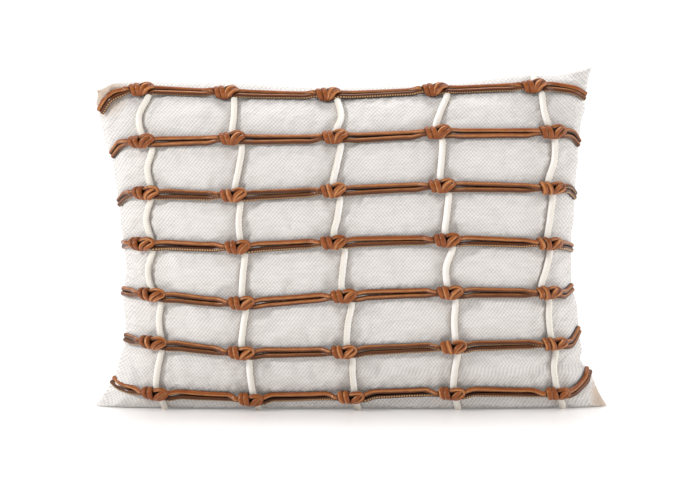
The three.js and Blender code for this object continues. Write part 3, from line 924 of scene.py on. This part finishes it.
def softened(node, name, edge):
    only(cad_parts[node])
    bpy.ops.object.duplicate()
    obj = bpy.context.active_object
    obj.name = name
    bpy.ops.object.mode_set(mode="EDIT")
    bpy.ops.mesh.select_all(action="SELECT")
    bpy.ops.mesh.remove_doubles(threshold=0.01 * MM)
    bpy.ops.mesh.dissolve_limited(angle_limit=math.radians(2))
    bpy.ops.object.mode_set(mode="OBJECT")
    edge_wear_and_ear_shade = obj.modifiers.new("Worn edges", "BEVEL")
    edge_wear_and_ear_shade.width = edge
    edge_wear_and_ear_shade.segments = 2
    edge_wear_and_ear_shade.limit_method = "ANGLE"
    edge_wear_and_ear_shade.angle_limit = math.radians(35)
    bpy.ops.object.modifier_apply(modifier=edge_wear_and_ear_shade.name)
    bpy.ops.object.shade_smooth_by_angle(angle=math.radians(40))
    return obj


metal = {
    "zip_slider": softened("zip_slider", "slider_body", 0.25 * MM),
    "zip_pull_tab": softened("zip_pull_tab", "slider_pull", 0.3 * MM),
    "zip_closed_end_stop": softened("zip_closed_end_stop", "stop_closed_end", 0.2 * MM),
    "zip_open_end_stop": softened("zip_open_end_stop", "stop_open_end", 0.2 * MM),
}
print("metal:", {name: len(obj.data.polygons) for name, obj in metal.items()})

# %% [markdown]
# The panels' edges are turned in and sewn down beside the zip: one row of stitches runs along each
# side of the slot. A stitch is a short thread that dips into the cloth at both ends.

# %% Top-stitching beside the zip
STITCH_STEP = 3.4 * MM


def stitch_row(name, cover, z, reach):
    """Stitches lying on a cover's outside along the height z."""
    bpy.context.view_layer.update()
    stitches = []
    count = int(2 * reach / STITCH_STEP)
    for n in range(count):
        line = []
        for share, sink in ((0.0, -0.35), (0.2, 0.12), (0.5, 0.22), (0.8, 0.12), (1.0, -0.35)):
            x = -reach + STITCH_STEP * (n + 0.12 + 0.76 * share)
            hit, place, normal, _ = cover.ray_cast(Vector((x, 0.2, z)), Vector((0, -1, 0)))
            if hit:
                line.append(tuple(place + normal * sink * MM))
        if len(line) == 5:
            stitches.append(cord_parts(np.array(line), 0.32 * MM, 0, (1, 0, 0), sides=6, ridge=0))
    return cords_object(name, stitches)


stitch_rows = [
    stitch_row("zip_stitches_upper", upper_cover, ZIP_Z + LIP + 3.0 * MM, OPENING + 3 * MM),
    stitch_row("zip_stitches_lower", lower_cover, ZIP_Z - LIP - 3.0 * MM, OPENING + 3 * MM),
]
print("stitches:", [len(o.data.polygons) for o in stitch_rows])

# %% [markdown]
# ## Materials
#
# Colours are written as sRGB hex values and turned to linear light by one function. One helper adds
# a node with its settings and links.

# %% Material helpers


def linear(hex_colour):
    channels = [int(hex_colour[k:k + 2], 16) / 255 for k in (1, 3, 5)]
    return tuple(c / 12.92 if c <= 0.04045 else ((c + 0.055) / 1.055) ** 2.4 for c in channels) + (1,)


def add(tree, kind, inputs=None, output=0, **settings):
    """Adds a node and gives one of its outputs; an input is a value, or an output to link."""
    node = tree.nodes.new(kind)
    for key, value in settings.items():
        setattr(node, key, value)
    for key, value in (inputs or {}).items():
        if isinstance(value, bpy.types.NodeSocket):
            tree.links.new(value, node.inputs[key])
        else:
            node.inputs[key].default_value = value
    return node.outputs[output]


def new_material(name, **settings):
    material = bpy.data.materials.new(name)
    material.use_nodes = True
    tree = material.node_tree
    shader = tree.nodes["Principled BSDF"]
    for key, value in settings.items():
        shader.inputs[key.replace("_", " ")].default_value = value
    return material, tree, shader


MATH = "ShaderNodeMath"
VECTOR_MATH = "ShaderNodeVectorMath"
NOISE = "ShaderNodeTexNoise"
RANGE = "ShaderNodeMapRange"
MIX = "ShaderNodeMix"

# %% [markdown]
# **Cotton basket weave.** Loose plain weave of thick, undyed yarn: bright bumps where a warp yarn
# rides over, shaded dips where it dives, and slubs where the yarn was spun unevenly. The yarns lie a
# little under 2 mm apart.

# %% Woven cotton
YARN_SPACING = 1.78 * MM
YARN_RELIEF = 0.18 * MM
RIB_SHARE = 0.22
ear_low, ear_high = cad_box
# Painted shade: the two ears tinted beige, each given as a point near its tip and how far the shade reaches.
SHADED_EARS = [((ear_low[0] + 8 * MM, SEAM_Y - 20 * MM, ear_high[2] - 21 * MM), 30 * MM),
             ((ear_high[0] - 4 * MM, SEAM_Y - 6 * MM, 10 * MM), 22 * MM)]


def woven_cotton(name, light, shade, ear_shade):
    material, tree, shader = new_material(name, Roughness=0.92, Sheen_Weight=0.25, Sheen_Roughness=0.5,
                                          Specular_IOR_Level=0.25)
    # The cloth's own layout, pushed about a little, because no yarn runs quite straight.
    flat = add(tree, "ShaderNodeUVMap", uv_map="cloth")
    wobble = add(tree, NOISE, {"Vector": flat, "Scale": 55.0, "Detail": 2.0}, "Color")
    shift = add(tree, VECTOR_MATH, {0: wobble, 1: (0.5, 0.5, 0.5)}, operation="SUBTRACT")
    shift = add(tree, VECTOR_MATH, {0: shift, "Scale": 1.6 * MM}, operation="SCALE")
    bent = add(tree, VECTOR_MATH, {0: flat, 1: shift}, operation="ADD")
    along_warp = add(tree, "ShaderNodeSeparateXYZ", {0: bent}, "X")
    along_weft = add(tree, "ShaderNodeSeparateXYZ", {0: bent}, "Y")
    across = add(tree, MATH, {0: along_warp, 1: along_weft}, operation="SUBTRACT")
    waves = []
    for place, wave in ((along_warp, "SINE"), (along_weft, "SINE"), (across, "COSINE")):
        turns = add(tree, MATH, {0: place, 1: math.pi / YARN_SPACING}, operation="MULTIPLY")
        waves.append(add(tree, MATH, {0: turns}, operation=wave))
    checks = add(tree, MATH, {0: waves[0], 1: waves[1]}, operation="MULTIPLY")
    checks = add(tree, MATH, {0: waves[2], 1: RIB_SHARE, 2: checks}, operation="MULTIPLY_ADD")
    height = add(tree, MATH, {0: checks, 1: 0.4, 2: 0.5}, operation="MULTIPLY_ADD")
    # Slubs are long along one yarn and as narrow as it is.
    slubs = add(tree, "ShaderNodeMapping", {"Vector": flat, "Scale": (60.0, 420.0, 1.0)})
    slubs = add(tree, NOISE, {"Vector": slubs, "Scale": 1.0, "Detail": 3.0})
    tone = add(tree, MATH, {0: height, 1: 0.55, 2: 0.2}, operation="MULTIPLY_ADD")
    tone = add(tree, MATH, {0: slubs, 1: 0.4, 2: tone}, operation="MULTIPLY_ADD", use_clamp=True)
    colour = add(tree, MIX, {0: tone, "A": linear(shade), "B": linear(light)}, "Result", data_type="RGBA")
    # Two ears are painted a little beige: painted shade on their corners, broken up at its edge by a noise.
    solid = add(tree, "ShaderNodeTexCoord", output="Object")
    patch_noise = add(tree, NOISE, {"Vector": solid, "Scale": 260.0, "Detail": 5.0})
    for place, reach in SHADED_EARS:
        away = add(tree, VECTOR_MATH, {0: solid, 1: place}, "Value", operation="DISTANCE")
        away = add(tree, MATH, {0: patch_noise, 1: 8 * MM, 2: away}, operation="MULTIPLY_ADD")
        edge_wear_and_ear_shade = add(tree, RANGE, {"Value": away, "From Min": reach * 0.6, "From Max": reach, "To Min": 0.85,
                                 "To Max": 0.0})
        colour = add(tree, MIX, {0: edge_wear_and_ear_shade, "A": colour, "B": linear(ear_shade)}, "Result", data_type="RGBA")
    tree.links.new(colour, shader.inputs["Base Color"])
    relief = add(tree, MATH, {0: slubs, 1: 0.5, 2: height}, operation="MULTIPLY_ADD")
    bump = add(tree, "ShaderNodeBump", {"Height": relief, "Strength": 0.9, "Distance": YARN_RELIEF})
    tree.links.new(bump, shader.inputs["Normal"])
    return material


cotton = woven_cotton("cotton_basket_weave", "#EFEBE8", "#A39D97", "#C2AC98")

# %% [markdown]
# ** Round stitched leather.** Split leather, dyed through and rolled round a core: a soft sheen, fine
# pores, a painted highlight line, and painted shade on the seam's side, deepest beside the seam. The
# cord's own layout gives the place round it (first number) and along it in metres (second).

# %% Leather cord


def stitched_leather(name, base, seam_side_shade, pale, painted_highlight, thread, crevice_shade, roughness, gloss=0.5, coat=0.0):
    material, tree, shader = new_material(name, Specular_IOR_Level=gloss, Coat_Weight=coat,
                                          Coat_Roughness=0.17)
    place = add(tree, "ShaderNodeUVMap", uv_map="cord")
    around = add(tree, "ShaderNodeSeparateXYZ", {0: place}, "X")
    along = add(tree, "ShaderNodeSeparateXYZ", {0: place}, "Y")
    solid = add(tree, "ShaderNodeTexCoord", output="Object")
    mottle = add(tree, NOISE, {"Vector": solid, "Scale": 90.0, "Detail": 4.0})
    streaks = add(tree, "ShaderNodeMapping", {"Vector": place, "Scale": (14.0, 160.0, 1.0)})
    streaks = add(tree, NOISE, {"Vector": streaks, "Scale": 1.0, "Detail": 2.0})
    pale_by = add(tree, MATH, {0: mottle, 1: 1.6, 2: -0.45}, operation="MULTIPLY_ADD")
    pale_by = add(tree, MATH, {0: streaks, 1: 0.3, 2: pale_by}, operation="MULTIPLY_ADD", use_clamp=True)
    # Painted highlight: a broken paler line along each cord stands for the bright streak that polished
    # leather shows. Gloss alone leaves it too faint at this size.
    from_seam = add(tree, MATH, {0: around, 1: 0.5}, operation="PINGPONG")
    line = add(tree, MATH, {0: from_seam, 1: 0.3}, operation="SUBTRACT")
    line = add(tree, MATH, {0: line}, operation="ABSOLUTE")
    line = add(tree, RANGE, {"Value": line, "From Min": 0.015, "From Max": 0.085, "To Min": 1.0,
                             "To Max": 0.0})
    breaks = add(tree, RANGE, {"Value": streaks, "From Min": 0.3, "From Max": 0.7, "To Min": 0.25,
                               "To Max": 0.9})
    highlight_by = add(tree, MATH, {0: line, 1: breaks}, operation="MULTIPLY")
    # The seam lies where the first number is 0 or 1. It is pressed out of sight inside the knots.
    shows = add(tree, "ShaderNodeAttribute", output="Fac", attribute_name="seam")
    # Painted shade: darkest beside the seam and fading out a third of the way round; the knots have none.
    seam_side_shade_by = add(tree, RANGE, {"Value": from_seam, "From Min": 0.06, "From Max": 0.36, "To Min": 1.0,
                                "To Max": 0.0})
    seam_side_shade_by = add(tree, MATH, {0: seam_side_shade_by, 1: shows}, operation="MULTIPLY")
    on_seam = add(tree, RANGE, {"Value": from_seam, "From Min": 0.03, "From Max": 0.075, "To Min": 1.0,
                                "To Max": 0.0})
    stitch = add(tree, MATH, {0: along, 1: 2 * math.pi / STITCH_PITCH}, operation="MULTIPLY")
    stitch = add(tree, MATH, {0: stitch}, operation="COSINE")
    stitch = add(tree, MATH, {0: stitch, 1: 0.5, 2: 0.5}, operation="MULTIPLY_ADD")
    thread_by = add(tree, MATH, {0: on_seam, 1: stitch}, operation="MULTIPLY")
    thread_by = add(tree, MATH, {0: thread_by, 1: shows}, operation="MULTIPLY")
    # Painted shade: ambient occlusion darkens the colour where one turn lies against the next and beside the
    # cover.
    open_to = add(tree, "ShaderNodeAmbientOcclusion", {"Distance": 5 * MM}, "AO", samples=8)
    crevice_shade_by = add(tree, RANGE, {"Value": open_to, "From Min": 0.42, "From Max": 1.0, "To Min": 1.0,
                                  "To Max": 0.0})
    colour = linear(base)
    for amount, tint in ((pale_by, pale), (highlight_by, painted_highlight), (seam_side_shade_by, seam_side_shade), (thread_by, thread),
                         (crevice_shade_by, crevice_shade)):
        colour = add(tree, MIX, {0: amount, "A": colour, "B": linear(tint)}, "Result", data_type="RGBA")
    tree.links.new(colour, shader.inputs["Base Color"])
    pores = add(tree, "ShaderNodeTexVoronoi", {"Vector": solid, "Scale": 1100.0}, "Distance")
    relief = add(tree, MATH, {0: pores, 1: 0.5, 2: mottle}, operation="MULTIPLY_ADD")
    bump = add(tree, "ShaderNodeBump", {"Height": relief, "Strength": 0.35, "Distance": 0.25 * MM})
    tree.links.new(bump, shader.inputs["Normal"])
    dull = add(tree, RANGE, {"Value": mottle, "To Min": roughness - 0.08, "To Max": roughness + 0.12})
    tree.links.new(dull, shader.inputs["Roughness"])
    return material


tan_leather = stitched_leather("tan_split_leather", base="#7A3708", seam_side_shade="#2E1002", pale="#A0581D",
                               painted_highlight="#D8965C", thread="#DDAA72", crevice_shade="#160601", roughness=0.4,
                               gloss=0.2, coat=0.4)
ivory_leather = stitched_leather("ivory_split_leather", base="#F8F4EE", seam_side_shade="#E2DACD", pale="#FDFBF7",
                                 painted_highlight="#FFFFFF", thread="#FAF7F0", crevice_shade="#DFD6C9", roughness=0.38)

# %% [markdown]
# **The quieter finishes.** The insert's casing and fibre, the zip's tape, coil and cast metal share
# one recipe: two tones mixed by a noise at the scale of the real thing's grain, and a little relief
# and change of gloss from the same noise.

# %% Casing, fibre, tape, nylon and brass


def grained(name, base, pale, scale, stretch=(1, 1, 1), roughness=0.8, relief=0.15 * MM, metallic=0.0):
    material, tree, shader = new_material(name, Metallic=metallic)
    solid = add(tree, "ShaderNodeTexCoord", output="Object")
    space = add(tree, "ShaderNodeMapping", {"Vector": solid, "Scale": stretch})
    grain = add(tree, NOISE, {"Vector": space, "Scale": scale, "Detail": 5.0})
    tone = add(tree, RANGE, {"Value": grain, "From Min": 0.3, "From Max": 0.7})
    colour = add(tree, MIX, {0: tone, "A": linear(base), "B": linear(pale)}, "Result", data_type="RGBA")
    tree.links.new(colour, shader.inputs["Base Color"])
    dull = add(tree, RANGE, {"Value": grain, "To Min": roughness - 0.08, "To Max": roughness + 0.1})
    tree.links.new(dull, shader.inputs["Roughness"])
    bump = add(tree, "ShaderNodeBump", {"Height": grain, "Strength": 0.6, "Distance": relief})
    tree.links.new(bump, shader.inputs["Normal"])
    return material


lining_cloth = grained("spunbond_casing", "#E9E7E2", "#F6F5F2", 900.0)
fibre = grained("carded_polyester_fibre", "#E8E8E6", "#FCFCFC", 260.0, relief=1.2 * MM)
brass = grained("cast_antique_brass", "#7C5C30", "#B4935C", 420.0, roughness=0.34, relief=0.03 * MM,
                metallic=1.0)
nylon = grained("moulded_nylon_coil", "#D6CFC2", "#E6E0D6", 500.0, roughness=0.42, relief=0.02 * MM)
tape_cloth = grained("woven_polyester_tape", "#CFC8BC", "#ECE7DE", 420.0, stretch=(1, 1, 5), relief=0.2 * MM)
thread = grained("spun_cotton_thread", "#DDD6CC", "#F2EDE6", 900.0, stretch=(3, 1, 1))

# %% [markdown]
# ## Who rides on what

# %% Dress, place and declare every piece


def dress(obj, material, nodes, body="pillow"):
    obj.data.materials.clear()
    obj.data.materials.append(material)
    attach(obj, body)
    if nodes:
        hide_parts(*nodes)


dress(front_cover, cotton, ["front_panel"])
dress(upper_cover, cotton, ["upper_back_panel"])
dress(lower_cover, cotton, ["lower_back_panel"])
dress(lining_front, lining_cloth, ["insert_front_lining"])
dress(lining_back, lining_cloth, ["insert_back_lining"])
dress(filling, fibre, ["fibre_filling"])
for n, obj in enumerate(rows, 1):
    dress(obj, tan_leather, [f"row_{n}_upper_strand", f"row_{n}_lower_strand"])
for n, obj in enumerate(uprights, 1):
    dress(obj, ivory_leather, [f"upright_cord_{n}"])
dress(upper_coil, nylon, ["zip_upper_coil"])
dress(lower_coil, nylon, ["zip_lower_coil"])
METAL_BODIES = {"zip_slider": "slider", "zip_pull_tab": "pull"}
for node, obj in metal.items():
    dress(obj, brass, [node], METAL_BODIES.get(node, "pillow"))
for obj in stitch_rows:
    dress(obj, thread, [])
for node in ("zip_upper_tape", "zip_lower_tape"):
    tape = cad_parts[node]
    tape.data.materials.clear()
    tape.data.materials.append(tape_cloth)

# %% [markdown]
# ## Studio
#
# A pale floor in a white room, a small light from the upper left, a weaker, wider one from the right
# and one from overhead. A narrow strip above the camera adds only a faint light.
# The camera stands a little above the pillow's middle, far enough back to keep its sides straight.

# %% Floor, light and camera
bpy.context.scene.view_settings.view_transform = "Standard"
bpy.ops.object.select_all(action="DESELECT")
# The floor ends behind the pillow where the white room takes over.
bpy.ops.mesh.primitive_plane_add(size=8, location=(0, -2.5, -0.5 * MM))
floor = bpy.context.active_object
floor.name = "studio_floor"
floor_paint, _, _ = new_material("white_cyclorama", Base_Color=linear("#F8F7F6"), Roughness=0.28,
                                 Emission_Color=(1, 1, 1, 1), Emission_Strength=0.12)
floor.data.materials.append(floor_paint)

# The room is white paper. It is brightest behind and above the pillow and dimmer behind the
# camera, so the pillow's edges glow, its front keeps some shape and its shadow falls forward.
world = bpy.data.worlds.new("studio")
bpy.context.scene.world = world
world.use_nodes = True
air = world.node_tree
direction = add(air, "ShaderNodeTexCoord", output="Generated")
depth = add(air, "ShaderNodeSeparateXYZ", {0: direction}, "Y")
shed = add(air, RANGE, {"Value": depth, "From Min": -1.0, "From Max": 1.0, "To Min": 0.3, "To Max": 1.0})
seen = add(air, "ShaderNodeLightPath", output="Is Camera Ray")
strength = add(air, MIX, {0: seen, "A": shed, "B": 1.1}, "Result", data_type="FLOAT")
air.nodes["Background"].inputs["Color"].default_value = (1, 1, 1, 1)
air.links.new(strength, air.nodes["Background"].inputs["Strength"])


def soft_light(name, place, aim, size, power):
    data = bpy.data.lights.new(name, "AREA")
    data.shape = "RECTANGLE"
    data.size, data.size_y = size
    data.energy = power
    light = bpy.data.objects.new(name, data)
    bpy.context.collection.objects.link(light)
    light.location = place
    light.rotation_euler = (Vector(aim) - Vector(place)).to_track_quat("-Z", "Y").to_euler()
    return light


soft_light("key", (-1.7, -1.1, 1.15), (0, 0, 0.15), (0.35, 0.35), 23.5)
soft_light("strip", (-0.25, -1.3, 1.55), (0, 0, 0.15), (0.5, 0.14), 2)
soft_light("side", (1.7, -0.6, 0.5), (0, 0, 0.15), (0.6, 1.2), 11)
soft_light("overhead", (0, 0.4, 1.7), (0, 0, 0.1), (1.6, 0.8), 15)

ELEVATION = math.radians(3)
DISTANCE = 2.4
SENSOR = 36
VIEW_WIDTH = 616 * MM
AIM = Vector((-0.0013, 0, 0.1466))
camera_data = bpy.data.cameras.new("camera")
camera_data.sensor_width = SENSOR
camera_data.lens = SENSOR * DISTANCE / VIEW_WIDTH
camera = bpy.data.objects.new("camera", camera_data)
bpy.context.collection.objects.link(camera)
camera.location = AIM + DISTANCE * Vector((0, -math.cos(ELEVATION), math.sin(ELEVATION)))
camera.rotation_euler = (AIM - camera.location).to_track_quat("-Z", "Y").to_euler()
bpy.context.scene.camera = camera
